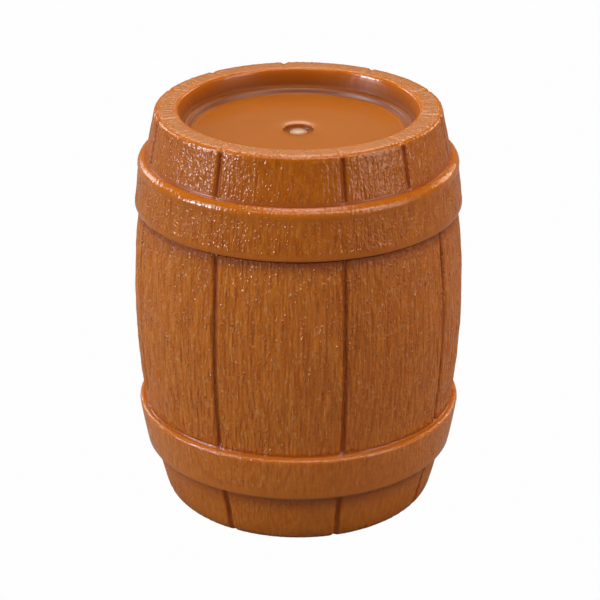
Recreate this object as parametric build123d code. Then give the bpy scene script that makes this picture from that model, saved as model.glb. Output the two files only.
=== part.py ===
"""Small moulded barrel: a cup-shaped body with a lower hoop, and a push-on lid whose skirt is the upper hoop.

Millimetres. Z is the barrel's axis, the floor is Z = 0, and -Y is the side that the photograph faces.
"""
from build123d import *
from math import asin, degrees, sqrt
import os

# Overall form: one bulging outline carries the body and, above it, the lid's collar
overall_height = 75.2
belly_radius = 30.0
belly_height = 39.4
stave_arc_radius = 137.2
foot_edge_radius = 3.6

# Lid, outside: heights, and how far each edge stands outside the bulging outline
collar_height = 8.5
collar_top_proud = 0.45
collar_base_proud = 0.1
upper_hoop_height = 9.3
upper_hoop_ledge_fall = 0.4
upper_hoop_top_proud = 1.75
upper_hoop_bottom_proud = 0.76
upper_hoop_shoulder_radius = 1.35
rim_edge_radius = 0.9

# Lid, head recess: rim, leaning wall, narrow ledge, leaning step, flat head with its gate well
rim_width = 4.15
recess_wall_lean = 0.75
ledge_depth = 3.4
ledge_width = 1.05
step_depth = 0.85
step_lean = 0.7
gate_well_radius = 2.78
gate_well_depth = 0.9
gate_nub_radius = 1.6
gate_nub_drop = 0.2

# Lid, inside
lid_wall = 1.3
skirt_wall = 1.25
seat_thickness = 1.5

# Body
body_wall = 1.9
floor_thickness = 1.8
neck_wall = 1.3
lower_hoop_bottom = 11.0
lower_hoop_height = 8.5
lower_hoop_proud = 1.2
foot_ring_width = 1.2
underside_recess_depth = 0.8
inner_corner_radius = 3.0

# Seal ring, squeezed flat between the neck's lip and the lid's seat
seal_thickness = 1.0
seal_overhang = 0.1

# Clearances
skirt_gap = 0.25
neck_clearance = 0.25
bead_clearance = 0.06
seal_side_clearance = 0.15
seal_face_clearance = 0.04

# Catch bead on the neck and its groove in the skirt
bead_height_above_shoulder = 3.2
bead_width = 1.2
catch_groove_depth = 0.2

# Stave joints: V grooves. Each row of staves has the direction of its first groove in degrees from the front,
# and the widths of its staves in degrees going round towards +X.
groove_width = 1.3
groove_depth = 0.6
rim_notch_depth = 0.25
body_first_groove_deg = -29.5
body_stave_widths = [45.4, 44.3, 45.4, 45.4, 45.4, 45.3, 45.3, 43.5]
collar_first_groove_deg = -31.0
collar_stave_widths = [47.9, 27.5, 34.5, 32.0, 36.4, 38.9, 32.8, 29.0, 38.0, 43.0]

# Small radii
soft_edge = 0.35
soft_corner = 0.4
lead_in = 0.4
step_corner = 0.25


def stave_radius(z):
    """Outside radius of the barrel's bulging outline at height z."""
    return belly_radius - stave_arc_radius + sqrt(stave_arc_radius**2 - (z - belly_height)**2)


def inner_radius(z):
    """Inside radius of the body's wall at height z."""
    return stave_radius(z) - body_wall


# Heights, from the floor up
hoop_top = overall_height - collar_height
skirt_bottom = hoop_top - upper_hoop_height
shoulder_height = skirt_bottom - skirt_gap
bead_height = shoulder_height + bead_height_above_shoulder
seat_height = hoop_top - seat_thickness
neck_top = seat_height - seal_thickness - 2 * seal_face_clearance
floor_top = underside_recess_depth + floor_thickness
ledge_height = overall_height - ledge_depth
head_height = ledge_height - step_depth

# Radii of the lid, from the bulging outline
collar_top_radius = stave_radius(overall_height) + collar_top_proud
collar_base_radius = stave_radius(hoop_top) + collar_base_proud
upper_hoop_top_radius = stave_radius(hoop_top) + upper_hoop_top_proud
upper_hoop_bottom_radius = stave_radius(skirt_bottom) + upper_hoop_bottom_proud
recess_mouth_radius = collar_top_radius - rim_width
recess_wall_foot_radius = recess_mouth_radius - recess_wall_lean
ledge_inner_radius = recess_wall_foot_radius - ledge_width
head_radius = ledge_inner_radius - step_lean
collar_seat_radius = collar_base_radius - lid_wall

# Radii of the push fit, from the skirt inwards
skirt_bore_radius = min(upper_hoop_top_radius, upper_hoop_bottom_radius) - skirt_wall
neck_radius = skirt_bore_radius - neck_clearance
neck_bore_radius = neck_radius - neck_wall


def outline(points):
    """Closed face in the XZ plane through the given (radius, height) points, joined by straight lines."""
    return make_face(Polyline(*[(r, 0, z) for r, z in points], close=True))


def rounded(face, corners):
    """Face with each listed corner, as (radius, height, fillet radius), rounded off."""
    for r, z, size in corners:
        nearest = face.vertices().sort_by_distance((r, 0, z))[0]
        face = fillet(nearest, size)
    return face


def turned(face):
    """Solid of revolution of an XZ face about the barrel's axis."""
    return revolve(face, Axis.Z)


def groove_section(r, z):
    """V section in a level plane, groove_width wide at radius r and carried on outwards to twice its size."""
    tip = (r - groove_depth, 0, z)
    mouth = r + groove_depth
    return make_face(Polyline(tip, (mouth, -groove_width, z), (mouth, groove_width, z), close=True))


def stave_edges(first, widths):
    """Directions of the grooves in degrees from the front, going round towards +X from the first."""
    edges = [first]
    for width in widths[:-1]:
        edges.append(edges[-1] + width)
    return edges


def at_direction(tool, from_front):
    """Copy of a tool made along +X, turned to a direction measured from the front, which is -Y."""
    return tool.rotate(Axis.Z, from_front - 90)


def meridian_groove():
    """Groove tool that follows the bulging outline from under the foot to above the shoulder."""
    axis = Axis((belly_radius - stave_arc_radius, 0, belly_height), (0, -1, 0))
    low = -degrees(asin(belly_height / stave_arc_radius))
    high = degrees(asin((shoulder_height + groove_width - belly_height) / stave_arc_radius))
    section = groove_section(belly_radius, belly_height).rotate(axis, low)
    return revolve(section, axis, high - low)


def foot_corner_centre():
    """Centre (radius, height) of the rounding between the floor and the bulging outline."""
    reach = stave_arc_radius - foot_edge_radius
    rise = belly_height - foot_edge_radius
    return belly_radius - stave_arc_radius + sqrt(reach**2 - rise**2), foot_edge_radius


def foot_groove():
    """Groove tool that carries the groove round the rounded foot edge."""
    r, z = foot_corner_centre()
    axis = Axis((r, 0, z), (0, -1, 0))
    section = groove_section(r + foot_edge_radius, z)
    start = -90
    end = -degrees(asin((belly_height - z) / (stave_arc_radius - foot_edge_radius)))
    return revolve(section.rotate(axis, start), axis, end - start)


def body_shell():
    """Turned cup: bulging wall, neck with its catch bead, floor and pushed-up underside."""
    outer_foot = (stave_radius(0), 0)
    outer_shoulder = (stave_radius(shoulder_height), shoulder_height)
    crest = skirt_bore_radius - bead_clearance
    inner_top = (inner_radius(shoulder_height), shoulder_height)
    inner_foot = (inner_radius(floor_top), floor_top)
    lip_start = (neck_bore_radius, shoulder_height + body_wall / 2)
    recess_mouth = foot_corner_centre()[0] - foot_ring_width
    recess_roof = recess_mouth - underside_recess_depth

    wall_out = ThreePointArc(*[(r, 0, z) for r, z in (outer_foot, (belly_radius, belly_height), outer_shoulder)])
    neck = Polyline(*[(r, 0, z) for r, z in (
        outer_shoulder,
        (neck_radius, shoulder_height),
        (neck_radius, bead_height - bead_width / 2),
        (crest, bead_height),
        (neck_radius, bead_height + bead_width / 2),
        (neck_radius, neck_top),
        (neck_bore_radius, neck_top),
        lip_start,
        inner_top)])
    belly_in = (belly_radius - body_wall, belly_height)
    wall_in = ThreePointArc(*[(r, 0, z) for r, z in (inner_top, belly_in, inner_foot)])
    base = Polyline(*[(r, 0, z) for r, z in (
        inner_foot,
        (0, floor_top),
        (0, underside_recess_depth),
        (recess_roof, underside_recess_depth),
        (recess_mouth, 0),
        outer_foot)])
    face = make_face([wall_out, neck, wall_in, base])
    face = rounded(face, [
        (*outer_foot, foot_edge_radius),
        (*inner_foot, inner_corner_radius),
        (*outer_shoulder, soft_edge),
        (neck_radius, neck_top, soft_edge),
        (neck_bore_radius, neck_top, soft_edge)])
    return turned(face)


def lower_hoop():
    """Raised band moulded on the body, following the bulge and rooted below the grooves."""
    low = lower_hoop_bottom
    high = lower_hoop_bottom + lower_hoop_height
    root = groove_depth + (body_wall - groove_depth) / 2
    top_outer = (stave_radius(high) + lower_hoop_proud, high)
    low_outer = (stave_radius(low) + lower_hoop_proud, low)
    face = outline([(stave_radius(low) - root, low), low_outer, top_outer, (stave_radius(high) - root, high)])
    face = rounded(face, [(*top_outer, lower_hoop_proud / 2), (*low_outer, soft_edge)])
    return turned(face)


def barrel_body():
    """The cup with its stave grooves, and the hoop laid over them."""
    body = body_shell()
    long_groove = meridian_groove()
    end_groove = foot_groove()
    for edge in stave_edges(body_first_groove_deg, body_stave_widths):
        body -= at_direction(long_groove, edge)
        body -= at_direction(end_groove, edge)
    return body + lower_hoop()


def lid_shell():
    """Turned lid: hollow collar, recessed head with its gate well, and the hoop as a skirt."""
    channel_top = overall_height - lid_wall
    channel_outer = collar_top_radius - lid_wall
    channel_inner = recess_mouth_radius + lid_wall
    wall_foot = recess_wall_foot_radius + lid_wall
    ledge_under = ledge_height - lid_wall
    head_under = head_height - lid_wall
    step_under = ledge_inner_radius + lid_wall / 2
    well_floor = head_height - gate_well_depth
    boss_radius = gate_well_radius + lid_wall
    boss_under = well_floor - lid_wall
    nub_top = head_height - gate_nub_drop
    catch_radius = skirt_bore_radius + catch_groove_depth
    catch_low = bead_height - bead_width / 2
    catch_high = bead_height + bead_width / 2
    hoop_shoulder_height = hoop_top - upper_hoop_ledge_fall
    shoulder_room = upper_hoop_top_radius - collar_base_radius - step_corner

    face = outline([
        (0, nub_top),
        (gate_nub_radius, nub_top),
        (gate_nub_radius, well_floor),
        (gate_well_radius, well_floor),
        (gate_well_radius, head_height),
        (head_radius, head_height),
        (ledge_inner_radius, ledge_height),
        (recess_wall_foot_radius, ledge_height),
        (recess_mouth_radius, overall_height),
        (collar_top_radius, overall_height),
        (collar_base_radius, hoop_top),
        (upper_hoop_top_radius, hoop_shoulder_height),
        (upper_hoop_bottom_radius, skirt_bottom),
        (skirt_bore_radius + lead_in, skirt_bottom),
        (skirt_bore_radius, skirt_bottom + lead_in),
        (skirt_bore_radius, catch_low),
        (catch_radius, bead_height),
        (skirt_bore_radius, catch_high),
        (skirt_bore_radius, seat_height),
        (collar_seat_radius, seat_height),
        (channel_outer, channel_top),
        (channel_inner, channel_top),
        (wall_foot, ledge_under),
        (step_under, ledge_under),
        (step_under, head_under),
        (boss_radius, head_under),
        (boss_radius, boss_under),
        (0, boss_under)])
    face = rounded(face, [
        (gate_nub_radius, nub_top, soft_corner),
        (gate_well_radius, head_height, step_corner),
        (head_radius, head_height, step_corner),
        (ledge_inner_radius, ledge_height, step_corner),
        (recess_wall_foot_radius, ledge_height, step_corner),
        (recess_mouth_radius, overall_height, soft_edge),
        (collar_top_radius, overall_height, rim_edge_radius),
        (collar_base_radius, hoop_top, step_corner),
        (upper_hoop_top_radius, hoop_shoulder_height, min(upper_hoop_shoulder_radius, shoulder_room)),
        (upper_hoop_bottom_radius, skirt_bottom, soft_edge)])
    return turned(face)


def collar_groove():
    """Groove tool up the collar's sloping side, from the hoop's ledge to above the rim."""
    lean = Vector(collar_top_radius - collar_base_radius, 0, collar_height)
    section = groove_section(collar_base_radius, hoop_top)
    return extrude(section, lean.length + groove_width, dir=lean.normalized())


def rim_notch():
    """Notch tool across the rim, deepest at the outer edge and running out at the recess."""
    outer = collar_top_radius + groove_depth
    tip = (outer, 0, overall_height - rim_notch_depth)
    above = overall_height + rim_notch_depth
    section = make_face(Polyline(tip, (outer, -groove_width, above), (outer, groove_width, above), close=True))
    run = Vector(recess_mouth_radius - outer, 0, rim_notch_depth)
    return extrude(section, run.length, dir=run.normalized())


def lid():
    """The lid with its stave grooves and the notches that they leave in the rim."""
    cover = lid_shell()
    groove = collar_groove()
    notch = rim_notch()
    for edge in stave_edges(collar_first_groove_deg, collar_stave_widths):
        cover -= at_direction(groove, edge)
        cover -= at_direction(notch, edge)
    return cover


def seal_ring():
    """Flat ring between the neck's lip and the lid's seat."""
    outer = skirt_bore_radius - seal_side_clearance
    inner = neck_bore_radius - seal_overhang
    low = neck_top + seal_face_clearance
    high = low + seal_thickness
    return turned(outline([(inner, low), (outer, low), (outer, high), (inner, high)]))


def main():
    """Write one STEP file for each piece."""
    os.makedirs("parts", exist_ok=True)
    pieces = {"barrel_body": barrel_body(), "lid": lid(), "seal_ring": seal_ring()}
    for name, shape in pieces.items():
        export_step(shape, f"parts/{name}.step")


main()
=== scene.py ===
"""Looks of a small moulded barrel: grained caramel plastic, a smooth recessed head and a soft seal ring.

Lengths in the dataclasses are millimetres and become metres where a mesh is written. Directions round the barrel
are angles from the front, which faces -Y, growing towards +X.
"""

import logging
import math
from dataclasses import dataclass, field, replace
from enum import IntEnum

import bpy
import numpy as np
from bpy.types import Material, Node, NodeSocket, NodeTree, Object, World
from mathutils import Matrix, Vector


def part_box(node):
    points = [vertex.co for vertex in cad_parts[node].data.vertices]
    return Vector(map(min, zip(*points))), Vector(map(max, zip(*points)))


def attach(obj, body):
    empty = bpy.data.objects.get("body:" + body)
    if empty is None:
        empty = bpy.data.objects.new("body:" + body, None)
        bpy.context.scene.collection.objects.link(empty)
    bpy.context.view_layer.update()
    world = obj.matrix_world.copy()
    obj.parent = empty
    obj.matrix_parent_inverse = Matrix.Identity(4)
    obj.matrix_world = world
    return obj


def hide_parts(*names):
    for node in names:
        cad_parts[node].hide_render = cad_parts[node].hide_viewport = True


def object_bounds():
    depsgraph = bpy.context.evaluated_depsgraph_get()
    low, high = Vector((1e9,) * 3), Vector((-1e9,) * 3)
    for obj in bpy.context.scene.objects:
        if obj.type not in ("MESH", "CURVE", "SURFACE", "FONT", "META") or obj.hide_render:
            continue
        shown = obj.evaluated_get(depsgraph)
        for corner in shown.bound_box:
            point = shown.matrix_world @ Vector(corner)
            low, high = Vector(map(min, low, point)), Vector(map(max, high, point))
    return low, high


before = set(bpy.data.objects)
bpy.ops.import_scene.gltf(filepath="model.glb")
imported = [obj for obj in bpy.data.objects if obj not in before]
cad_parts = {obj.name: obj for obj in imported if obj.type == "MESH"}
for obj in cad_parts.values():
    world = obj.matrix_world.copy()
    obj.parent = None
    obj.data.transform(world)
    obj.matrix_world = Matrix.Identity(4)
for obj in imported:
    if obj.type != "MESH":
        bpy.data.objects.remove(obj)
cad_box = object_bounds()

MM = 0.001
log = logging.getLogger("barrel")


class Finish(IntEnum):
    """Which of a piece's materials a face takes."""

    GRAINED = 0
    SMOOTH = 1
    BLUSHED = 2
    SATIN = 3


class Density(IntEnum):
    """How many columns of the finest ring lie between two columns of a ring."""

    FINE = 1
    COARSE = 8


@dataclass(frozen=True)
class BarrelForm:
    """Sizes that the body and the lid share: the bulging outline and the levels on it."""

    belly_radius: float = 30.0
    belly_height: float = 39.4
    stave_arc_radius: float = 137.2
    collar_height: float = 8.5
    upper_hoop_height: float = 9.3
    upper_hoop_fall: float = 0.4
    upper_hoop_top_proud: float = 1.75
    skirt_wall: float = 1.25
    skirt_gap: float = 0.25
    neck_clearance: float = 0.25
    groove_half_width: float = 0.85
    groove_core: float = 0.6
    groove_depth: float = 0.7
    crevice: float = 0.18
    seat_thickness: float = 1.5
    bead_rise: float = 3.2
    bead_width: float = 1.2

    @property
    def overall_height(self) -> float:
        """Height of the rim above the floor, read from the frame."""
        return cad_box[1].z / MM

    @property
    def hoop_top(self) -> float:
        """Height of the corner between the collar and the upper hoop."""
        return self.overall_height - self.collar_height

    @property
    def skirt_bottom(self) -> float:
        """Height of the upper hoop's lower edge."""
        return self.hoop_top - self.upper_hoop_height

    @property
    def shoulder_height(self) -> float:
        """Height of the body's shoulder, a small gap below the upper hoop."""
        return self.skirt_bottom - self.skirt_gap

    @property
    def seat_height(self) -> float:
        """Height of the seat inside the lid that presses on the seal ring."""
        return self.hoop_top - self.seat_thickness

    @property
    def bead_height(self) -> float:
        """Height of the catch bead round the neck."""
        return self.shoulder_height + self.bead_rise

    @property
    def skirt_bore(self) -> float:
        """Inside radius of the upper hoop."""
        return float(self.stave_radius(self.hoop_top)) + self.upper_hoop_top_proud - self.skirt_wall

    def stave_radius(self, height: np.ndarray | float) -> np.ndarray:
        """Radius of the bulging outline: an arc of stave_arc_radius whose widest point is the belly.

        Args:
            height: Heights above the floor.

        Returns:
            The outline's radius at each height.
        """
        reach = np.sqrt(self.stave_arc_radius**2 - (np.asarray(height) - self.belly_height) ** 2)
        return self.belly_radius - self.stave_arc_radius + reach


FORM = BarrelForm()


def gradient_noise(across: np.ndarray, along: np.ndarray, columns: int, seed: int) -> np.ndarray:
    """Smooth noise from about -1 to 1 on a square lattice that repeats after `columns` cells across.

    Each lattice corner holds a random slope. The value is the four corners' slopes times the distance to them,
    blended by 6t^5 - 15t^4 + 10t^3 in each direction.

    Args:
        across: Positions across, in cells.
        along: Positions along, in cells, of the same shape.
        columns: Number of cells after which the pattern repeats across.
        seed: Seed of the random slopes.

    Returns:
        Noise of the same shape as the positions.
    """
    rows = 512
    turn = np.random.default_rng(seed).uniform(0.0, 2.0 * math.pi, (rows, columns))
    column = np.floor(across).astype(int)
    row = np.floor(along).astype(int)
    x = across - column
    y = along - row

    def corner(step_x: int, step_y: int) -> np.ndarray:
        """Slope of one corner of each cell times the distance to it."""
        angle = turn[(row + step_y) % rows, (column + step_x) % columns]
        return np.cos(angle) * (x - step_x) + np.sin(angle) * (y - step_y)

    blend_x = x**3 * (x * (6.0 * x - 15.0) + 10.0)
    blend_y = y**3 * (y * (6.0 * y - 15.0) + 10.0)
    low = corner(0, 0) * (1.0 - blend_x) + corner(1, 0) * blend_x
    high = corner(0, 1) * (1.0 - blend_x) + corner(1, 1) * blend_x
    return math.sqrt(2.0) * (low * (1.0 - blend_y) + high * blend_y)


def fade(distance: np.ndarray, reach: float, power: int = 2) -> np.ndarray:
    """Strength that falls away on both sides of zero distance, as exp(-(distance / reach)^power)."""
    return np.exp(-((distance / reach) ** power))


@dataclass(frozen=True)
class WoodGrain:
    """Moulded wood grain: winding crevices between low ribs, stretched up the barrel."""

    streaks: int
    streak_length: float
    depth: float
    seed: int
    bend: float = 0.7
    crevice_width: float = 0.2
    hairline_width: float = 0.26
    rib_middle: float = 0.45
    rib_share: float = 0.5
    ripple_share: float = 0.22
    crevice_share: float = 0.4
    hairline_share: float = 0.25
    deepest: float = 1.2

    def depth_at(self, angle: np.ndarray, height: np.ndarray) -> np.ndarray:
        """Depth of the grain below the surface.

        Rounded ribs follow a stretched noise, bent sideways by a slower one, and a second noise with half its
        cells ripples them. Crevices are where the first noise passes through zero, as exp(-(noise / width)^2),
        and hairlines the same of the second. A slow noise fades one into the other.

        Args:
            angle: Directions round the barrel.
            height: Positions up the barrel, of the same shape.

        Returns:
            Depths from 0 to about `depth`.
        """
        turn = angle / (2.0 * math.pi)
        slow = max(8, self.streaks // 6)
        sway = gradient_noise(turn * slow, height / (0.8 * self.streak_length), slow, self.seed)
        across = turn * self.streaks + self.bend * sway
        coarse = gradient_noise(across, height / self.streak_length, self.streaks, self.seed + 1)
        second = gradient_noise(across * 2.0 + 0.4 * coarse, height / (0.6 * self.streak_length),
                                2 * self.streaks, self.seed + 2)
        strength = 0.62 + 0.38 * gradient_noise(turn * 2 * slow, height / (0.5 * self.streak_length),
                                                2 * slow, self.seed + 4)
        crevice = fade(coarse, self.crevice_width) * strength
        hairline = fade(second, self.hairline_width) * (1.0 - strength)
        ribs = self.rib_middle - self.rib_share * coarse - self.ripple_share * second
        lines = self.crevice_share * crevice + self.hairline_share * hairline
        return self.depth * np.clip(ribs + lines, 0.0, self.deepest)


@dataclass(frozen=True)
class Corner:
    """A corner of a profile, with the radius that rounds it off."""

    radius: float
    height: float
    rounding: float = 0.0


@dataclass(frozen=True)
class Stretch:
    """Settings for one leg of a profile: pitch of its rings and strengths of its grain, joints and fine relief."""

    pitch: float
    grain: float = 0.0
    groove: float = 0.0
    fine: float = 0.0


def rounded_path(corners: list[Corner], pitches: list[float], arc_pitch: float = 0.26) -> np.ndarray:
    """Points along straight legs joined by tangent arcs.

    At a corner of rounding q that turns by a, the arc starts and ends q * tan(a / 2) from the corner, and its
    points are the corner's two tangent points swung about the arc's centre.

    Args:
        corners: The profile's corners in order.
        pitches: Greatest spacing of points on each leg.
        arc_pitch: Rough spacing of points on each arc, which has from 2 to 6 steps.

    Returns:
        Array of (radius, height, leg) rows, where leg is the index of the leg that the point belongs to.
    """
    places = np.array([[c.radius, c.height] for c in corners])
    legs = np.diff(places, axis=0)
    ways = legs / np.linalg.norm(legs, axis=1)[:, None]
    rows = [np.array([[*places[0], 0.0]])]
    start = places[0]
    for index, way in enumerate(ways):
        last = index == len(ways) - 1
        rounding = 0.0 if last else corners[index + 1].rounding
        corner = places[index + 1]
        turn = 0.0 if last else math.acos(float(np.clip(way @ ways[index + 1], -1.0, 1.0)))
        cut = rounding * math.tan(turn / 2.0)
        end = corner - way * cut
        steps = max(1, math.ceil(float(np.linalg.norm(end - start)) / pitches[index]))
        share = np.linspace(0.0, 1.0, steps + 1)[1:, None]
        rows.append(np.hstack([start + (end - start) * share, np.full((steps, 1), float(index))]))
        start = end
        if cut > 0.0:
            following = ways[index + 1]
            inwards = following - way * float(way @ following)
            centre = end + inwards / np.linalg.norm(inwards) * rounding
            steps = min(6, max(2, round(rounding * turn / arc_pitch)))
            swing = np.linspace(0.0, turn, steps + 1)[1:, None]
            across = (centre - end) / rounding
            arc = centre - across * rounding * np.cos(swing) + way * rounding * np.sin(swing)
            rows.append(np.hstack([arc, np.full((steps, 1), index + 0.5)]))
            start = arc[-1]
    return np.vstack(rows)


def foot_arc(form: BarrelForm, rounding: float, steps: int) -> np.ndarray:
    """Points round the foot's edge, from the floor to the bulging outline.

    The rounding's centre is `rounding` above the floor and `rounding` inside the bulging arc.

    Args:
        form: The barrel's shared sizes.
        rounding: Radius of the foot's edge.
        steps: Number of steps along it.

    Returns:
        Array of (radius, height) rows.
    """
    reach = form.stave_arc_radius - rounding
    rise = form.belly_height - rounding
    centre = form.belly_radius - form.stave_arc_radius + math.sqrt(reach**2 - rise**2)
    end = -math.asin(rise / reach)
    swing = np.linspace(-math.pi / 2.0, end, steps + 1)
    return np.column_stack([centre + rounding * np.cos(swing), rounding + rounding * np.sin(swing)])


def groove_angles(first: float, widths: tuple[float, ...]) -> np.ndarray:
    """Directions of the joints between staves: the first, then the running sum of the staves' widths.

    Args:
        first: Direction of the first joint, in degrees from the front.
        widths: Width of each stave in degrees, going round; the last one closes the circle.

    Returns:
        Directions in radians.
    """
    return np.radians(first + np.concatenate([[0.0], np.cumsum(widths[:-1])]))


def gap_between(angle: np.ndarray, target: float) -> np.ndarray:
    """Signed angle from a target direction, from minus half a turn to half a turn."""
    return (angle - target + math.pi) % (2.0 * math.pi) - math.pi


def crowded_angles(columns: int, crowds: np.ndarray, radius: float) -> np.ndarray:
    """Directions of the columns, closer together beside each groove.

    The density is 1 plus exp(-(distance / 0.9 mm)^2) for each groove. Its running sum, scaled to a full turn,
    is read backwards at even steps.

    Args:
        columns: Number of columns.
        crowds: Directions of the grooves.
        radius: Radius that turns an angle into a distance.

    Returns:
        Rising directions, one per column, over one turn.
    """
    reach = 0.9
    even = np.linspace(-math.pi, math.pi, 8 * columns + 1)
    density = np.ones_like(even)
    for crowd in crowds:
        density += fade(gap_between(even, crowd) * radius, reach)
    total = np.concatenate([[0.0], np.cumsum((density[1:] + density[:-1]) / 2.0)])
    return np.interp(np.linspace(0.0, total[-1], columns + 1)[:-1], total, even)


def groove_depth(angle: np.ndarray, grooves: np.ndarray, radius: np.ndarray, form: BarrelForm) -> np.ndarray:
    """Depth of the joints between staves: half a wide dip and half a narrow core at each joint.

    Each of the two is depth / 2 * (1 - (distance / reach)^2)^2 within its own reach.

    Args:
        angle: Directions, one per column.
        grooves: Directions of the joints.
        radius: Radius of each ring, as a column of rows.
        form: The barrel's shared sizes.

    Returns:
        Depths, one row per ring and one column per direction.
    """
    depth = np.zeros((radius.shape[0], angle.shape[0]))
    for groove in grooves:
        distance = gap_between(angle, groove)[None, :] * radius
        for reach in (form.groove_half_width, form.groove_core):
            depth += form.groove_depth / 2.0 * np.clip(1.0 - (distance / reach) ** 2, 0.0, 1.0) ** 2
    return depth


@dataclass
class Turning:
    """A closed skin turned about the barrel's axis, put together ring by ring from the inside bottom outwards."""

    angles: np.ndarray
    points: list[np.ndarray] = field(default_factory=list)
    depths: list[np.ndarray] = field(default_factory=list)
    shares: list[np.ndarray] = field(default_factory=list)
    faces: list[list[int]] = field(default_factory=list)
    finishes: list[int] = field(default_factory=list)
    count: int = 0
    last: tuple[int, int] | None = None

    def pole(self, height: float, finish: Finish) -> None:
        """Puts a point on the axis and closes the open ring to it, or waits for the first ring.

        Args:
            height: Height of the point.
            finish: Material of the fan.
        """
        index = self.count
        self._keep(np.array([[0.0, 0.0, height]]), np.zeros(1), 1.0)
        if self.last is not None:
            start, step = self.last
            ring = start + np.arange(self.angles.size // step)
            self._cover(np.column_stack([ring, np.roll(ring, -1), np.full_like(ring, index)]), finish)
        self.last = (index, 0)

    def rings(self, path: np.ndarray, density: Density, finish: Finish, depth: np.ndarray | None = None,
              fine: np.ndarray | None = None, shade: np.ndarray | None = None) -> None:
        """Adds one ring for each point of a path, each joined to the ring before.

        A ring is the path's point moved inwards along the path's normal by the depth, at each direction a:
        (r sin a, -r cos a, z).

        Args:
            path: Rows of (radius, height).
            density: How many columns of the finest ring lie between two of these.
            finish: Material of the faces that end at these rings.
            depth: Depth below the surface, one row per ring and one column per direction, or None for zero.
            fine: Strength of the material's fine relief, one row per ring, or None for one.
            shade: Painted shade added to the stored depth, which darkens the tone, or painted light below zero, one
                per ring, or None for zero.
        """
        angles = self.angles[:: int(density)]
        columns = angles.size
        depth = np.zeros((len(path), columns)) if depth is None else depth
        fine = np.ones((len(path), 1)) if fine is None else fine
        shade = np.zeros(len(path)) if shade is None else shade
        way = np.gradient(path[:, :2], axis=0)
        way /= np.linalg.norm(way, axis=1)[:, None]
        radius = path[:, :1] - way[:, 1:2] * depth
        height = path[:, 1:2] + way[:, :1] * depth
        rings = np.stack([radius * np.sin(angles), -radius * np.cos(angles), height], axis=2)
        for ring, sunk, share, extra in zip(rings, depth, fine, shade):
            start = self.count
            self._keep(ring, sunk + extra, float(share[0]))
            if self.last is not None:
                self._join(start, int(density), finish)
            self.last = (start, int(density))

    def close_loop(self, finish: Finish) -> None:
        """Joins the last ring to the first, for a skin that goes round like a tyre.

        Args:
            finish: Material of the faces.
        """
        first = np.arange(len(self.points[0]))
        last = self.last[0] + first
        self._cover(np.column_stack([last, np.roll(last, -1), np.roll(first, -1), first]), finish)

    def _keep(self, points: np.ndarray, depth: np.ndarray, share: float) -> None:
        """Stores points, their depth below the surface with painted shade added, and the strength of the fine relief
        there.
        """
        self.points.append(points)
        self.depths.append(depth)
        self.shares.append(np.full(len(points), share))
        self.count += len(points)

    def _cover(self, faces: np.ndarray, finish: Finish) -> None:
        """Stores faces of one material."""
        self.faces.extend(faces.tolist())
        self.finishes.extend([int(finish)] * len(faces))

    def _join(self, start: int, step: int, finish: Finish) -> None:
        """Joins a new ring to the last one: quads, or one wide face for each column of the sparser ring."""
        low, low_step = self.last
        columns = self.angles.size
        if low_step == 0:
            ring = start + np.arange(columns // step)
            self._cover(np.column_stack([np.full_like(ring, low), np.roll(ring, -1), ring]), finish)
            return
        sparse = max(step, low_step)
        cell = np.arange(columns // sparse)
        sides = []
        for first, own in ((low, low_step), (start, step)):
            ratio = sparse // own
            steps = cell[:, None] * ratio + np.arange(ratio + 1)[None, :]
            sides.append(first + steps % (columns // own))
        self._cover(np.hstack([sides[0], sides[1][:, ::-1]]), finish)

    def build(self, name: str, materials: list[Material]) -> Object:
        """Writes the skin into a smooth shaded mesh at the origin, with depth plus painted shade and fine relief as
        attributes.

        Args:
            name: Name of the piece.
            materials: One material for each finish.

        Returns:
            The new object.
        """
        mesh = bpy.data.meshes.new(name)
        mesh.from_pydata((np.vstack(self.points) * MM).tolist(), [], self.faces)
        for label, values in (("sunk", self.depths), ("fine", self.shares)):
            attribute = mesh.attributes.new(label, "FLOAT", "POINT")
            attribute.data.foreach_set("value", np.concatenate(values).astype(np.float32))
        for material in materials:
            mesh.materials.append(material)
        mesh.polygons.foreach_set("material_index", np.array(self.finishes, np.int32))
        mesh.polygons.foreach_set("use_smooth", np.ones(len(self.faces), bool))
        mesh.validate()
        mesh.update()
        piece = bpy.data.objects.new(name, mesh)
        bpy.context.scene.collection.objects.link(piece)
        log.info("%s: %d faces, %d points", name, len(self.faces), self.count)
        return piece


def weights_for(path: np.ndarray, strengths: list[float]) -> np.ndarray:
    """Strength of a relief at each point of a rounded path, blended across the corners.

    Args:
        path: Rows of (radius, height, leg) from rounded_path.
        strengths: Strength on each leg.

    Returns:
        One strength per point, as a column.
    """
    legs = np.arange(len(strengths), dtype=float)
    return np.interp(path[:, 2], legs, strengths)[:, None]


def grain_outside(skin: Turning, path: np.ndarray, legs: list[Stretch], grooves: np.ndarray, grain: WoodGrain,
                  along: np.ndarray, shade: np.ndarray) -> None:
    """Adds the rings of a grained outside: joints between staves, and grain that flattens beside them.

    The depth is grain * (1 - 0.8 * joint / full joint) + joint, each times its leg's strength.

    Args:
        skin: The piece's skin.
        path: Rows of (radius, height, leg) from rounded_path.
        legs: Settings of each leg.
        grooves: Directions of the joints.
        grain: The wood grain.
        along: Where each ring lies in the grain's pattern.
        shade: Painted shade added to the stored depth, one per ring; below zero it is painted light.
    """
    angle, height = np.meshgrid(skin.angles, along)
    sunk = grain.depth_at(angle, height) * weights_for(path, [leg.grain for leg in legs])
    joints = groove_depth(skin.angles, grooves, path[:, :1], FORM)
    sunk = sunk * (1.0 - 0.8 * joints / FORM.groove_depth)
    sunk += joints * weights_for(path, [leg.groove for leg in legs])
    fine = weights_for(path, [leg.fine for leg in legs])
    skin.rings(path, Density.FINE, Finish.GRAINED, sunk, fine, shade)


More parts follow.
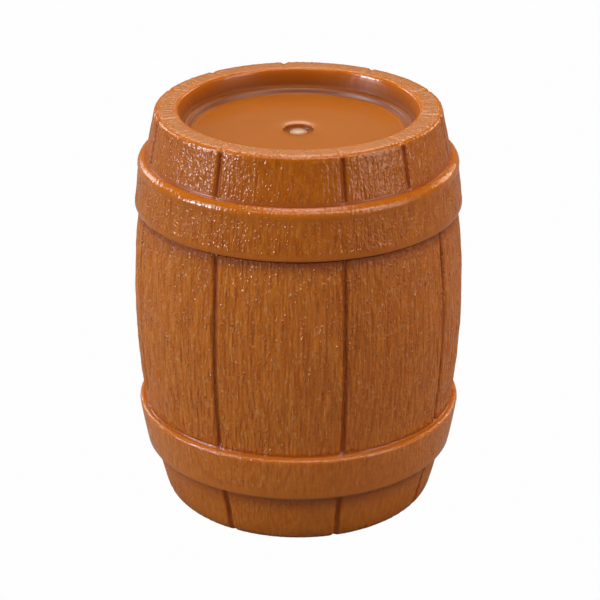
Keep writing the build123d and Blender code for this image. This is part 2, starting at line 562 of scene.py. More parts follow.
@dataclass
class Profile:
    """A profile on the bulging outline: its corners so far, and the settings of the leg that leaves each."""

    form: BarrelForm
    corners: list[Corner] = field(default_factory=list)
    legs: list[Stretch] = field(default_factory=list)

    def turn(self, radius: float, height: float, rounding: float, leg: Stretch) -> None:
        """Adds a corner and the leg that leaves it."""
        self.corners.append(Corner(radius, height, rounding))
        self.legs.append(leg)

    def follow(self, low: float, high: float, steps: int, proud: float, leg: Stretch) -> None:
        """Adds corners along the outline.

        Args:
            low: Height to start from, itself left out.
            high: Height to end at, itself left out.
            steps: Number of steps between the two.
            proud: How far the corners stand out from the outline.
            leg: Settings of each leg.
        """
        for height in np.linspace(low, high, steps + 1)[1:-1]:
            self.turn(float(self.form.stave_radius(height)) + proud, height, 0.0, leg)


@dataclass
class BarrelBody:
    """The cup: bulging staves, lower hoop, foot, plain neck with its catch bead, and smooth inside."""

    form: BarrelForm = FORM
    columns: int = 1136
    wall: float = 1.9
    floor_thickness: float = 1.8
    foot_edge_radius: float = 3.6
    foot_ring_width: float = 1.2
    underside_depth: float = 0.8
    hoop_bottom: float = 11.0
    hoop_height: float = 8.5
    hoop_proud: float = 1.2
    neck_wall: float = 1.3
    bead_clearance: float = 0.06
    lip_below_seat: float = 1.08
    bulge_pitch: float = 1.15
    foot_rows: int = 7
    band_rows: int = 8
    first_groove: float = -29.5
    stave_widths: tuple[float, ...] = (45.4, 44.3, 45.4, 45.4, 45.4, 45.3, 45.3, 43.5)
    grain: WoodGrain = WoodGrain(streaks=430, streak_length=5.5, depth=0.25, seed=11)

    def outside(self) -> tuple[list[Corner], list[Stretch]]:
        """Corners of the grained outside, from the foot's edge to the shoulder, and each leg's settings."""
        form = self.form
        bottom = self.hoop_bottom
        top = bottom + self.hoop_height
        start = top + 0.3
        shoulder = form.shoulder_height
        radius = {height: float(form.stave_radius(height)) for height in (bottom, top, start, shoulder)}
        foot = foot_arc(form, self.foot_edge_radius, self.foot_rows)
        side = Profile(form)
        for step, (reach, height) in enumerate(foot):
            side.turn(reach, height, 0.0, Stretch(1.5, 0.35, 0.3 + 0.6 * step / len(foot), 0.4))
        side.follow(foot[-1, 1], bottom, self.band_rows, 0.0, Stretch(1.5, 0.45, 1.0, 0.5))
        side.turn(radius[bottom], bottom, 0.15, Stretch(1.0))
        side.turn(radius[bottom] + self.hoop_proud, bottom, 0.35, Stretch(1.0, 0.2, 0.0, 0.2))
        side.follow(bottom, top, self.band_rows, self.hoop_proud, Stretch(1.5, 0.4, 0.0, 0.6))
        side.turn(radius[top] + self.hoop_proud, top, 0.7, Stretch(0.3, 0.0, 0.0, 0.1))
        side.turn(radius[top] + 1.5 * form.crevice, top, 0.12, Stretch(0.3))
        side.turn(radius[top] - 0.03, top - form.crevice, 0.05, Stretch(0.5, 0.2, 0.6, 0.3))
        side.turn(radius[start], start, 0.3, Stretch(0.8, 0.9, 1.0, 1.0))
        rows = math.ceil((shoulder - top) / self.bulge_pitch)
        side.follow(start, shoulder, rows, 0.0, Stretch(1.5, 1.0, 1.0, 1.0))
        side.turn(radius[shoulder], shoulder, 0.2, Stretch(1.0))
        side.corners.append(Corner(radius[shoulder] - 0.5, shoulder))
        return side.corners, side.legs

    def inside(self) -> list[Corner]:
        """Corners of the neck, the lip and the inside wall, from the shoulder down to the floor."""
        form = self.form
        shoulder = form.shoulder_height
        neck = form.skirt_bore - form.neck_clearance
        bore = neck - self.neck_wall
        bead = form.bead_height
        lip = form.seat_height - self.lip_below_seat
        floor = self.underside_depth + self.floor_thickness
        wall = [Corner(float(form.stave_radius(z)) - self.wall, z) for z in np.linspace(shoulder, floor, 20)[:-1]]
        return [
            Corner(neck, shoulder, 0.12),
            Corner(neck, bead - form.bead_width / 2.0),
            Corner(form.skirt_bore - self.bead_clearance, bead, 0.2),
            Corner(neck, bead + form.bead_width / 2.0),
            Corner(neck, lip, 0.35),
            Corner(bore, lip, 0.35),
            Corner(bore, shoulder + self.wall / 2.0),
            *wall,
            Corner(float(form.stave_radius(floor)) - self.wall, floor, 2.2),
            Corner(6.0, floor),
        ]

    def painted_light_and_shade(self, height: np.ndarray) -> np.ndarray:
        """Painted light and shade on each ring, stored as added depth.

        It paints shade as a dark line under the upper hoop and just above the lower hoop and a shadow below the
        lower hoop, makes the foot a little darker near the floor, and paints bounce light on the lower hoop's lower
        edge a little paler.

        Args:
            height: Heights of the rings.

        Returns:
            One added depth per ring, below zero where painted light pales the tone.
        """
        above = height - self.hoop_bottom - self.hoop_height
        below = self.hoop_bottom - height
        # Painted shade under the upper hoop, the foot darker near the floor, painted shade and shadow round the
        # lower hoop, painted bounce light on its lower edge.
        shade = 0.8 * fade(self.form.shoulder_height - height, 1.3)
        shade += 0.15 * fade(height, 3.0)
        shade += 0.7 * fade(above, 0.5) * (above > 0.02)
        shade += 0.75 * fade(below, 2.6) * (below > 0.0)
        return shade - 0.2 * fade(below + 0.4, 0.5) * (below < -0.05)

    def build(self, materials: list[Material]) -> Object:
        """Turns the cup, grains its outside and replaces the frame's body.

        Args:
            materials: The grained and the smooth plastic.

        Returns:
            The finished piece.
        """
        form = self.form
        grooves = groove_angles(self.first_groove, self.stave_widths)
        skin = Turning(crowded_angles(self.columns, grooves, form.belly_radius))
        mouth = foot_arc(form, self.foot_edge_radius, 1)[0, 0] - self.foot_ring_width
        under = [
            Corner(6.0, self.underside_depth),
            Corner(mouth - self.underside_depth, self.underside_depth, 0.4),
            Corner(mouth, 0.0, 0.1),
            Corner(mouth + self.foot_ring_width * 0.75, 0.0),
        ]
        skin.pole(self.underside_depth, Finish.SMOOTH)
        skin.rings(rounded_path(under, [5.0, 1.0, 1.0]), Density.COARSE, Finish.SMOOTH)

        corners, legs = self.outside()
        path = rounded_path(corners, [leg.pitch for leg in legs])
        grain_outside(skin, path, legs, grooves, self.grain, path[:, 1], self.painted_light_and_shade(path[:, 1]))

        inner = self.inside()
        skin.rings(rounded_path(inner, [3.0] * (len(inner) - 1)), Density.COARSE, Finish.SMOOTH)
        skin.pole(self.underside_depth + self.floor_thickness, Finish.SMOOTH)
        piece = skin.build("barrel_cup", materials)
        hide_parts("barrel_body")
        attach(piece, "barrel")
        return piece


@dataclass
class BarrelLid:
    """The lid: upper hoop as a skirt, collar with stave ends, hollow rim, and a recessed head with a gate well."""

    form: BarrelForm = FORM
    columns: int = 1280
    collar_top_proud: float = 0.45
    collar_base_proud: float = 0.1
    hoop_bottom_proud: float = 0.76
    hoop_shoulder: float = 1.6
    rim_edge: float = 0.9
    rim_width: float = 4.15
    wall_lean: float = 0.75
    ledge_depth: float = 3.4
    ledge_width: float = 1.05
    step_depth: float = 0.85
    step_lean: float = 0.7
    well_radius: float = 2.78
    well_depth: float = 0.9
    nub_radius: float = 1.6
    nub_drop: float = 0.2
    head_relief: float = 0.06
    wall: float = 1.3
    catch_depth: float = 0.2
    lead_in: float = 0.4
    first_groove: float = -31.0
    stave_widths: tuple[float, ...] = (47.9, 27.5, 34.5, 32.0, 36.4, 38.9, 32.8, 29.0, 38.0, 43.0)
    grain: WoodGrain = WoodGrain(streaks=300, streak_length=4.5, depth=0.16, seed=47)

    @property
    def collar_top(self) -> float:
        """Outside radius of the rim."""
        return float(self.form.stave_radius(self.form.overall_height)) + self.collar_top_proud

    @property
    def mouth(self) -> float:
        """Radius of the recess at the rim."""
        return self.collar_top - self.rim_width

    def outside(self) -> tuple[list[Corner], list[Stretch]]:
        """Corners of the grained outside, from the skirt's edge over hoop and collar to the rim, and the legs."""
        form = self.form
        hoop_base = float(form.stave_radius(form.skirt_bottom)) + self.hoop_bottom_proud
        hoop_head = float(form.stave_radius(form.hoop_top)) + form.upper_hoop_top_proud
        collar_base = float(form.stave_radius(form.hoop_top)) + self.collar_base_proud
        lean = self.collar_top - collar_base
        corners = [
            Corner(form.skirt_bore + self.lead_in, form.skirt_bottom),
            Corner(hoop_base, form.skirt_bottom, 0.4),
            Corner(hoop_base - 0.03, form.skirt_bottom + 0.9),
            Corner(hoop_head - 0.12, form.hoop_top - form.upper_hoop_fall - 2.0),
            Corner(hoop_head, form.hoop_top - form.upper_hoop_fall - 0.3, self.hoop_shoulder),
            Corner(collar_base + 2.0 * form.crevice, form.hoop_top, 0.15),
            Corner(collar_base + 0.02, form.hoop_top - form.crevice, 0.06),
            Corner(collar_base, form.hoop_top + 2.0 * form.crevice, 0.3),
            Corner(collar_base + 0.88 * lean, form.overall_height - 0.12 * form.collar_height),
            Corner(self.collar_top, form.overall_height, self.rim_edge),
            Corner(self.mouth, form.overall_height, 0.5),
            Corner(self.mouth - 0.2 * self.wall_lean, form.overall_height - 0.2 * self.ledge_depth),
        ]
        legs = [
            Stretch(0.6),
            Stretch(0.5, 0.05, 0.0, 0.1),
            Stretch(0.62, 0.9, 0.0, 1.0),
            Stretch(0.6, 0.6, 0.0, 0.35),
            Stretch(0.3, 0.2, 0.0, 0.15),
            Stretch(0.3),
            Stretch(0.3, 0.0, 0.3),
            Stretch(0.55, 1.0, 1.0, 0.7),
            Stretch(0.5, 0.8, 0.8, 0.3),
            Stretch(0.55, 0.35, 0.15, 0.35),
            Stretch(0.3),
        ]
        return corners, legs

    def recess(self) -> list[Corner]:
        """Corners of the smooth recess, from the wall's top down to the nub in the gate well."""
        top = self.form.overall_height
        foot = self.mouth - self.wall_lean
        edge = foot - self.ledge_width
        head = edge - self.step_lean
        ledge = top - self.ledge_depth
        level = ledge - self.step_depth
        return [
            Corner(self.mouth - 0.2 * self.wall_lean, top - 0.2 * self.ledge_depth),
            Corner(foot, ledge - 0.2, 0.25),
            Corner(foot - 0.4 * self.ledge_width, ledge + 0.12, 0.4),
            Corner(edge - 0.1, ledge + 0.05, 0.4),
            Corner(head + 0.15, level - 0.08, 0.2),
            Corner(head - 0.2, level + 0.08, 0.15),
            Corner(head - 0.6, level, 0.3),
            Corner(self.well_radius, level, 0.2),
            Corner(self.well_radius - 0.1, level - self.well_depth, 0.2),
            Corner(self.nub_radius, level - self.well_depth),
        ]

    def nub(self) -> np.ndarray:
        """Points over the nub in the gate well: radius * cos(q), and rise * sin(q)^0.6 above the well's floor."""
        swing = np.linspace(0.0, math.pi / 2.0, 10)[:-1]
        foot = self.form.overall_height - self.ledge_depth - self.step_depth - self.well_depth
        rise = self.well_depth - self.nub_drop
        return np.column_stack([self.nub_radius * np.cos(swing), foot + rise * np.sin(swing) ** 0.6])

    def underside(self) -> list[Corner]:
        """Corners of the lid's inside, from under the head out to the seat and down the skirt."""
        form = self.form
        top = form.overall_height
        foot = self.mouth - self.wall_lean + self.wall
        ledge = top - self.ledge_depth - self.wall
        head = top - self.ledge_depth - self.step_depth - self.wall
        step = self.mouth - self.wall_lean - self.ledge_width + self.wall / 2.0
        boss = self.well_radius + self.wall
        seat = float(form.stave_radius(form.hoop_top)) + self.collar_base_proud - self.wall
        catch = form.bead_height
        return [
            Corner(boss - 1.5, head - self.well_depth),
            Corner(boss, head - self.well_depth, 0.3),
            Corner(boss, head, 0.3),
            Corner(step, head, 0.3),
            Corner(step, ledge, 0.3),
            Corner(foot, ledge, 0.3),
            Corner(self.mouth + self.wall, top - self.wall, 0.4),
            Corner(self.collar_top - self.wall, top - self.wall, 0.4),
            Corner(seat, form.seat_height, 0.2),
            Corner(form.skirt_bore, form.seat_height, 0.15),
            Corner(form.skirt_bore, catch + form.bead_width / 2.0),
            Corner(form.skirt_bore + self.catch_depth, catch, 0.1),
            Corner(form.skirt_bore, catch - form.bead_width / 2.0),
            Corner(form.skirt_bore, form.skirt_bottom + self.lead_in),
            Corner(form.skirt_bore + 0.8 * self.lead_in, form.skirt_bottom + 0.2 * self.lead_in),
        ]

    def outside_painted_light_and_shade(self, path: np.ndarray) -> np.ndarray:
        """Painted light and shade outside, stored as added depth: painted shade along the collar's foot, the collar
        a little darker, and a painted pale sheen on the flat of the rim.

        Args:
            path: Rows of (radius, height).

        Returns:
            One added depth per ring, below zero where the painted sheen pales the tone.
        """
        top = self.form.overall_height
        over_hoop = path[:, 1] - self.form.hoop_top
        middle = self.collar_top - 0.5 * self.rim_width
        # Painted sheen on the rim's flat, then the collar a little darker and painted shade at the collar's foot.
        shade = -0.5 * fade(path[:, 0] - middle, 1.5, 4) * (path[:, 1] > top - 0.1)
        shade += 0.12 * (over_hoop > 0.0) * (path[:, 1] < top - 1.0)
        return shade + 0.45 * fade(over_hoop, 0.7) * (over_hoop > -0.12)

    def recess_painted_shade(self, path: np.ndarray, head: float) -> np.ndarray:
        """Painted shade in the recess, stored as added depth: down the wall towards the ledge, along the step's foot
        and in the well.

        Args:
            path: Rows of (radius, height).
            head: Height of the head.

        Returns:
            One added depth of painted shade per ring.
        """
        step_foot = self.mouth - self.wall_lean - self.ledge_width - self.step_lean + 0.2
        # Painted shade: darker down the wall towards the ledge, along the step's foot and on the well's wall and
        # floor.
        hollow = 0.6 * fade(path[:, 1] - self.form.overall_height + self.ledge_depth, 2.0)
        shade = hollow * (path[:, 0] > step_foot) + 0.4 * fade(path[:, 0] - step_foot, 0.25)
        return shade + 0.5 * (path[:, 1] < head - 0.3)

    def build(self, materials: list[Material]) -> Object:
        """Turns the lid from its underside round over the rim to the head, and replaces the frame's lid.

        Args:
            materials: The grained, the smooth, the blushed and the satin plastic.

        Returns:
            The finished piece.
        """
        form = self.form
        grooves = groove_angles(self.first_groove, self.stave_widths)
        skin = Turning(crowded_angles(self.columns, grooves, self.collar_top))
        head = form.overall_height - self.ledge_depth - self.step_depth
        skin.pole(head - self.wall - self.well_depth, Finish.SMOOTH)
        under = self.underside()
        skin.rings(rounded_path(under, [2.5] * (len(under) - 1), 0.5), Density.COARSE, Finish.SMOOTH)

        corners, legs = self.outside()
        path = rounded_path(corners, [leg.pitch for leg in legs])
        along = path[:, 1] - path[:, 0] * (path[:, 1] > form.overall_height - self.rim_edge)
        grain_outside(skin, path, legs, grooves, self.grain, along, self.outside_painted_light_and_shade(path))

        recess = rounded_path(self.recess(), [0.6, 0.3, 0.5, 0.3, 0.3, 0.5, 3.0, 0.3, 0.5])[1:]
        shade = self.recess_painted_shade(recess, head)
        wall_rows = int(np.count_nonzero(recess[:, 0] > self.mouth - self.wall_lean - 0.3))
        skin.rings(recess[:wall_rows], Density.COARSE, Finish.SATIN, shade=shade[:wall_rows])
        fine = np.full((len(recess) - wall_rows, 1), self.head_relief)
        skin.rings(recess[wall_rows:], Density.COARSE, Finish.SMOOTH, fine=fine, shade=shade[wall_rows:])
        skin.rings(self.nub()[1:], Density.COARSE, Finish.BLUSHED)
        skin.pole(head - self.nub_drop, Finish.BLUSHED)
        piece = skin.build("barrel_lid", materials)
        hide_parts("lid")
        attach(piece, "lid")
        return piece


def new_group(name: str, inputs: dict[str, float | tuple[float, ...]], outputs: dict[str, str]) -> NodeTree:
    """Makes an empty shader node group.

    Args:
        name: Name of the group.
        inputs: For each input socket, its default value: a number or a colour.
        outputs: For each output socket, its type.

    Returns:
        The group, with one input node and one output node.
    """
    group = bpy.data.node_groups.new(name, "ShaderNodeTree")
    for label, value in inputs.items():
        kind = "NodeSocketColor" if isinstance(value, tuple) else "NodeSocketFloat"
        group.interface.new_socket(label, in_out="INPUT", socket_type=kind).default_value = value
    for label, kind in outputs.items():
        group.interface.new_socket(label, in_out="OUTPUT", socket_type=kind)
    group.nodes.new("NodeGroupInput").name = "in"
    group.nodes.new("NodeGroupOutput").name = "out"
    return group


@dataclass
class Wiring:
    """Short calls for adding and linking shader nodes in one tree."""

    tree: NodeTree

    def node(self, kind: str, settings: dict[str, object] | None = None, **values: object) -> Node:
        """Adds a node.

        Args:
            kind: The node's type name, without its leading ShaderNode.
            settings: Properties of the node itself.
            **values: For each input, with spaces as underscores, a value or a socket to link.

        Returns:
            The new node.
        """
        made = self.tree.nodes.new("ShaderNode" + kind)
        for label, value in (settings or {}).items():
            setattr(made, label, value)
        for label, value in values.items():
            self.feed(made, label.replace("_", " "), value)
        return made

    def feed(self, made: Node, label: str | int, value: object) -> None:
        """Sets one input of a node, or links a socket to it."""
        if isinstance(value, NodeSocket):
            self.tree.links.new(value, made.inputs[label])
        else:
            made.inputs[label].default_value = value

    def math(self, operation: str, first: object, second: object = 0.0, clamp: bool = False) -> NodeSocket:
        """Adds a Math node and returns its result."""
        made = self.node("Math", {"operation": operation, "use_clamp": clamp})
        self.feed(made, 0, first)
        self.feed(made, 1, second)
        return made.outputs[0]

    def spread(self, value: object, low: float, high: float, to_low: float, to_high: float) -> NodeSocket:
        """Maps a value from one range to another, held at the ends."""
        made = self.node("MapRange", {"clamp": True}, Value=value, From_Min=low, From_Max=high,
                         To_Min=to_low, To_Max=to_high)
        return made.outputs[0]

    def blend(self, share: object, first: object, second: object) -> NodeSocket:
        """Mixes two colours by a share."""
        made = self.node("Mix", {"data_type": "RGBA"})
        self.feed(made, 0, share)
        self.feed(made, 6, first)
        self.feed(made, 7, second)
        return made.outputs[2]


    def surface(self, kind: str, shader: NodeSocket) -> None:
        """Adds an output node of a kind and links the shader to it."""
        self.tree.links.new(shader, self.node(kind).inputs[0])


def empty_wiring(owner: Material | World) -> Wiring:
    """Turns on an owner's shader nodes, empties them and returns the calls that wire them."""
    owner.use_nodes = True
    owner.node_tree.nodes.clear()
    return Wiring(owner.node_tree)


def drawn_noise_group(name: str, scale: float, stretch: float, **noise: float) -> NodeTree:
    """Noise drawn out up the barrel, as a height from 0 to 1. Cells are 1 / scale across, and 1 / stretch longer.

    Args:
        name: Name of the group.
        scale: Default of its scale.
        stretch: Default of its stretch.
        **noise: Further values of the noise node.

    Returns:
        The group.
    """
    group = new_group(name, {"Scale": scale, "Stretch": stretch}, {"Height": "NodeSocketFloat"})
    wire = Wiring(group)
    given = group.nodes["in"].outputs
    place = wire.node("TexCoord").outputs["Object"]
    shrink = wire.node("CombineXYZ", X=1.0, Y=1.0, Z=given["Stretch"])
    drawn = wire.node("VectorMath", {"operation": "MULTIPLY"})
    wire.feed(drawn, 0, place)
    wire.feed(drawn, 1, shrink.outputs[0])
    cells = wire.node("TexNoise", Vector=drawn.outputs[0], Scale=given["Scale"], **noise)
    wire.feed(group.nodes["out"], "Height", wire.spread(cells.outputs[0], 0.25, 0.75, 0.0, 1.0))
    return group


def pebble_group() -> NodeTree:
    """Fine pebbles: small long domes in some of the cells of a scattered pattern, in clusters, from 0 to 1."""
    group = new_group("fine pebbles", {"Scale": 1900.0, "Share": 0.4}, {"Height": "NodeSocketFloat"})
    wire = Wiring(group)
    given = group.nodes["in"].outputs
    place = wire.node("TexCoord").outputs["Object"]
    drawn = wire.node("VectorMath", {"operation": "MULTIPLY"})
    wire.feed(drawn, 0, place)
    wire.feed(drawn, 1, (1.15, 1.15, 0.75))
    cells = wire.node("TexVoronoi", {"feature": "F1"}, Vector=drawn.outputs[0], Scale=given["Scale"],
                      Randomness=1.0)
    dot = wire.node("MapRange", {"interpolation_type": "SMOOTHSTEP"}, Value=cells.outputs["Distance"],
                    From_Min=0.0, From_Max=0.42, To_Min=1.0, To_Max=0.0).outputs[0]
    pick = wire.node("SeparateColor", Color=cells.outputs["Color"])
    clusters = wire.node("TexNoise", Vector=place, Scale=260.0, Detail=1.0).outputs[0]
    limit = wire.math("MULTIPLY", given["Share"], wire.spread(clusters, 0.35, 0.65, 0.3, 1.7))
    chosen = wire.math("LESS_THAN", pick.outputs[0], limit)
    wire.feed(group.nodes["out"], "Height", wire.math("MULTIPLY", dot, chosen))
    return group


def tone_group() -> NodeTree:
    """Colour of the plastic: patches and fibres between two tones, painted glints as short pale strokes, painted
    shade where sunk or shaded, painted light where the stored depth is below zero.

    The attribute "sunk" holds the depth in millimetres plus painted shade; below zero it stands for painted light.
    The attribute "fine" holds the strength of the fine relief, which fibres and painted glints follow.
    """
    # The darkest tone is painted shade's colour, the pale one painted light's, and the stroke colour that of painted
    # glints.
    inputs = {"Light": (0.5, 0.15, 0.02, 1.0), "Dark": (0.4, 0.1, 0.01, 1.0), "Deep": (0.3, 0.06, 0.0, 1.0),
              "Pale": (0.42, 0.205, 0.088, 1.0), "Dash": (0.9, 0.44, 0.11, 1.0), "Streaks": 0.5, "Dashes": 0.0}
    group = new_group("plastic tone", inputs, {"Color": "NodeSocketColor", "ShadeShare": "NodeSocketFloat"})
    wire = Wiring(group)
    given = group.nodes["in"].outputs
    place = wire.node("TexCoord").outputs["Object"]
    patches = wire.node("TexNoise", Vector=place, Scale=120.0, Detail=2.0).outputs[0]
    fibres = wire.node("Group", {"node_tree": bpy.data.node_groups["fine fibres"]}, Scale=2100.0,
                       Stretch=0.06).outputs[0]
    fine = wire.node("Attribute", {"attribute_name": "fine"}).outputs["Fac"]
    strength = wire.math("MULTIPLY", given["Streaks"], fine)
    streaks = wire.math("ADD", wire.math("MULTIPLY", wire.math("SUBTRACT", fibres, 0.5), strength), 0.5)
    mixed = wire.math("ADD", streaks, wire.math("MULTIPLY", patches, 0.35))
    base = wire.blend(wire.spread(mixed, 0.3, 0.9, 0.0, 1.0), given["Dark"], given["Light"])
    # Painted glints: short pale strokes along fibre crests, mixed into the base colour.
    crests = wire.node("Group", {"node_tree": bpy.data.node_groups["fine fibres"]}, Scale=2300.0,
                       Stretch=0.3).outputs[0]
    share = wire.math("MULTIPLY", given["Dashes"], fine)
    painted_glints = wire.math("MULTIPLY", wire.spread(crests, 0.72, 0.95, 0.0, 1.0), share)
    base = wire.blend(painted_glints, base, given["Dash"])
    # Painted shade: the stored depth, with painted shade added, darkens the tone in crevices, grooves and shaded
    # places.
    sunk = wire.node("Attribute", {"attribute_name": "sunk"}).outputs["Fac"]
    painted_shade = wire.spread(sunk, 0.05, 0.7, 0.0, 1.0)
    specks = wire.node("TexNoise", Vector=place, Scale=1400.0, Detail=1.0).outputs[0]
    # Painted light: a stored depth below zero pales the tone, as a painted sheen on the rim and painted bounce light
    # on the lower hoop's edge.
    painted_light = wire.math("MULTIPLY", wire.spread(sunk, 0.0, -1.0, 0.0, 1.0), wire.spread(specks, 0.35, 0.65, 0.7, 1.3))
    base = wire.blend(wire.math("MINIMUM", painted_light, 1.0), base, given["Pale"])
    wire.feed(group.nodes["out"], "Color", wire.blend(painted_shade, base, given["Deep"]))
    wire.feed(group.nodes["out"], "ShadeShare", painted_shade)
    return group


@dataclass(frozen=True)
class MouldedPlastic:
    """Caramel plastic as moulded: its tones, its gloss, and the depths in millimetres of its fine texture.

    Fibres, wrinkles and pebbles add up to one bump. Places that are sunk or carry painted shade are duller, and
    light goes a little way in.
    """

    name: str
    light: tuple[float, float, float]
    dark: tuple[float, float, float]
    # Colour of painted shade in crevices, grooves and shaded places.
    painted_shade: tuple[float, float, float]
    streaks: float
    roughness: tuple[float, float]
    fibre_scale: float = 1500.0
    fibre_depth: float = 0.0
    wrinkle_scale: float = 1700.0
    wrinkle_depth: float = 0.0
    pebble_scale: float = 1500.0
    pebble_depth: float = 0.0
    pebble_share: float = 0.5
    # Share of painted glints: short pale strokes in the base colour.
    painted_glints: float = 0.0
    gloss: float = 0.5
    sunk_dulling: float = 0.25
    light_let_in: float = 0.15
    light_reach: tuple[float, float, float] = (1.0, 0.35, 0.1)
    light_depth: float = 1.2

    def build(self) -> Material:
        """Makes the material from the shared groups and one Principled shader.

        Returns:
            The material.
        """
        material = bpy.data.materials.new(self.name)
        wire = empty_wiring(material)
        groups = bpy.data.node_groups
        tone = wire.node("Group", {"node_tree": groups["plastic tone"]}, Light=(*self.light, 1.0),
                         Dark=(*self.dark, 1.0), Deep=(*self.painted_shade, 1.0), Streaks=self.streaks, Dashes=self.painted_glints)
        fibres = wire.node("Group", {"node_tree": groups["fine fibres"]}, Scale=self.fibre_scale).outputs[0]
        wrinkles = wire.node("Group", {"node_tree": groups["short wrinkles"]},
                             Scale=self.wrinkle_scale).outputs[0]
        pebbles = wire.node("Group", {"node_tree": groups["fine pebbles"]}, Scale=self.pebble_scale,
                            Share=self.pebble_share).outputs[0]
        height = wire.math("ADD", wire.math("MULTIPLY", wrinkles, self.wrinkle_depth),
                           wire.math("MULTIPLY", pebbles, self.pebble_depth))
        height = wire.math("ADD", wire.math("MULTIPLY", fibres, self.fibre_depth), height)
        share = wire.node("Attribute", {"attribute_name": "fine"}).outputs["Fac"]
        skin = wire.node("Bump", Strength=1.0, Distance=MM, Height=wire.math("MULTIPLY", height, share))
        dull = wire.spread(tone.outputs["ShadeShare"], 0.0, 1.0, 0.0, self.sunk_dulling)
        rough = wire.math("ADD", wire.spread(fibres, 0.0, 1.0, *self.roughness), dull)
        shader = wire.node("BsdfPrincipled", Base_Color=tone.outputs[0], Roughness=rough, IOR=1.49,
                           Normal=skin.outputs[0], Specular_IOR_Level=self.gloss,
                           Subsurface_Weight=self.light_let_in, Subsurface_Radius=self.light_reach,
                           Subsurface_Scale=self.light_depth * MM)
        wire.surface("OutputMaterial", shader.outputs[0])
        return material


@dataclass(frozen=True)
class SealFoam:
    """Pale soft foam of the seal ring, matt and finely porous."""

    name: str = "seal_foam"
    colour: tuple[float, float, float] = (0.74, 0.71, 0.62)
    shade: tuple[float, float, float] = (0.6, 0.57, 0.48)

    def build(self) -> Material:
        """Makes the foam material.

        Returns:
            The material.
        """
        material = bpy.data.materials.new(self.name)
        wire = empty_wiring(material)
        pores = wire.node("Group", {"node_tree": bpy.data.node_groups["fine pebbles"]}, Scale=4200.0,
                          Share=0.8).outputs[0]
        colour = wire.blend(pores, (*self.colour, 1.0), (*self.shade, 1.0))
        bump = wire.node("Bump", {"invert": True}, Strength=1.0, Distance=0.04 * MM, Height=pores)
        shader = wire.node("BsdfPrincipled", Base_Color=colour, Roughness=0.85, Normal=bump.outputs[0])
        wire.surface("OutputMaterial", shader.outputs[0])
        return material


@dataclass
class SealRing:
    """The flat soft ring between the neck's lip and the lid's seat, as large as the frame's ring."""

    columns: int = 240
    edge: float = 0.25

    def build(self, materials: list[Material]) -> Object:
        """Turns the ring's rounded section, read from the frame's box and bore, and replaces the frame's ring.

        Args:
            materials: The foam.

        Returns:
            The finished piece.
        """
        low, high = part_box("seal_ring")
        points = np.array([v.co[:2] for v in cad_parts["seal_ring"].data.vertices])
        bore = float(np.linalg.norm(points, axis=1).min()) / MM + 0.01
        outer = high.x / MM
        bottom = low.z / MM
        top = high.z / MM
        middle = (bore + outer) / 2.0
        corners = [
            Corner(middle, bottom),
            Corner(outer, bottom, self.edge),
            Corner(outer, top, self.edge),
            Corner(bore, top, self.edge),
            Corner(bore, bottom, self.edge),
            Corner(middle, bottom),
        ]
        skin = Turning(np.linspace(-math.pi, math.pi, self.columns, endpoint=False))
        path = rounded_path(corners, [0.5] * (len(corners) - 1))
        skin.rings(path[:-1], Density.FINE, Finish.GRAINED)
        skin.close_loop(Finish.GRAINED)
        piece = skin.build("foam_seal", materials)
        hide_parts("seal_ring")
        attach(piece, "seal")
        return piece


@dataclass(frozen=True)
class SoftLight:
    """A studio light: its direction from the barrel in degrees, its width, power, colour, height / width, distance.

    A sheen light is seen only in reflections: it stands for a bright panel whose diffuse light the others give.
    """

    name: str
    azimuth: float
    elevation: float
    width: float
    power: float
    colour: tuple[float, float, float] = (1.0, 1.0, 1.0)
    tallness: float = 1.0
    distance: float = 1.05
    sheen: bool = False

    def build(self, aim: Vector) -> Object:
        """Hangs the light, turned to the point that it lights.

        Args:
            aim: The point.

        Returns:
            The lamp.
        """
        turn = math.radians(self.azimuth)
        rise = math.radians(self.elevation)
        way = Vector((math.sin(turn) * math.cos(rise), -math.cos(turn) * math.cos(rise), math.sin(rise)))
        data = bpy.data.lights.new(self.name, "AREA")
        data.shape = "RECTANGLE"
        data.size = self.width
        data.size_y = self.width * self.tallness
        data.energy = self.power
        data.color = self.colour
        lamp = bpy.data.objects.new(self.name, data)
        lamp.location = aim + way * self.distance
        lamp.rotation_euler = (-way).to_track_quat("-Z", "Y").to_euler()
        lamp.visible_diffuse = not self.sheen
        bpy.context.scene.collection.objects.link(lamp)
        return lamp


